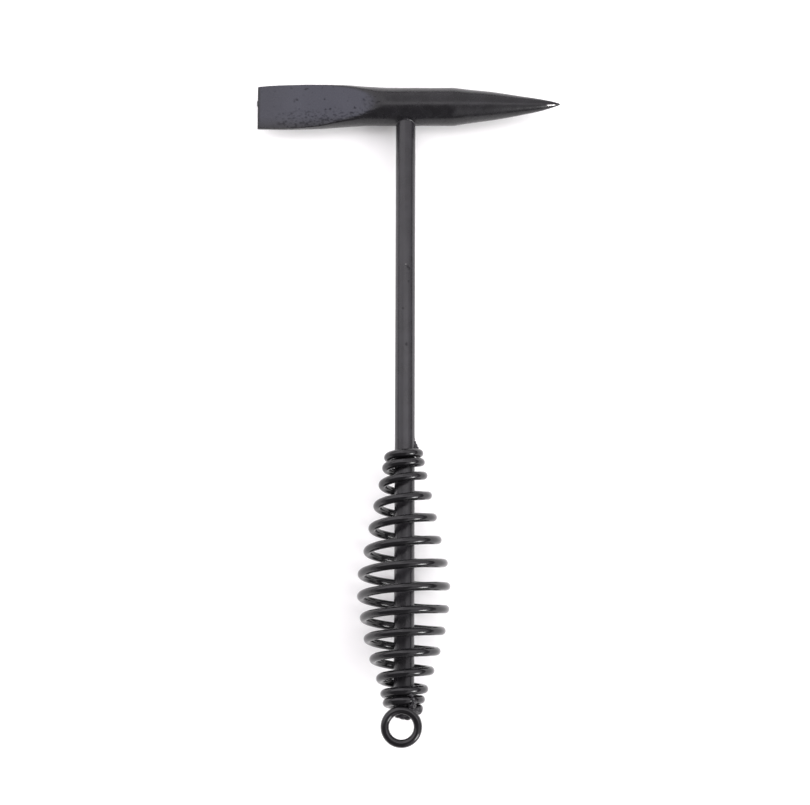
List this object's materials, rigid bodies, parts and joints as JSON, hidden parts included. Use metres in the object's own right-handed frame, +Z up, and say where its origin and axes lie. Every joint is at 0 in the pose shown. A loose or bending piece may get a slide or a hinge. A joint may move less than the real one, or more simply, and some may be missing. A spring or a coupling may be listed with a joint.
{
  "type": "rock hammer",
  "caption": "All-steel chipping hammer: round-bar head with a cone point and an upright chisel blade, straight round shank, barrel-shaped coil spring for a grip and a small hanging ring.",
  "frame": {"origin": "middle of the bounding box, at the bottom, on the surface the hammer lies on", "axes": "+Z up from the surface, +Y along the shank towards the head, +X towards the cone point; the hammer rests on the spring's belly and on the head, so its shank slopes down 3.1 degrees towards the head"},
  "size_m": [0.1302, 0.281, 0.0386],
  "materials": {
    "head_paint": "satin black paint over forged steel",
    "shank_paint": "satin black paint over round bar",
    "weld_paint": "black paint over rough weld",
    "spring_paint": "semi-gloss black paint over spring wire",
    "ring_paint": "gloss black paint over steel wire"
  },
  "bodies": {
    "root": {"hammer_head": "head_paint", "shank": "shank_paint", "head_weld": "weld_paint", "spring_grip": "spring_paint", "spring_top_weld": "weld_paint", "spring_bottom_weld": "weld_paint", "hang_ring": "ring_paint", "ring_weld": "weld_paint"}
  },
  "joints": []
}
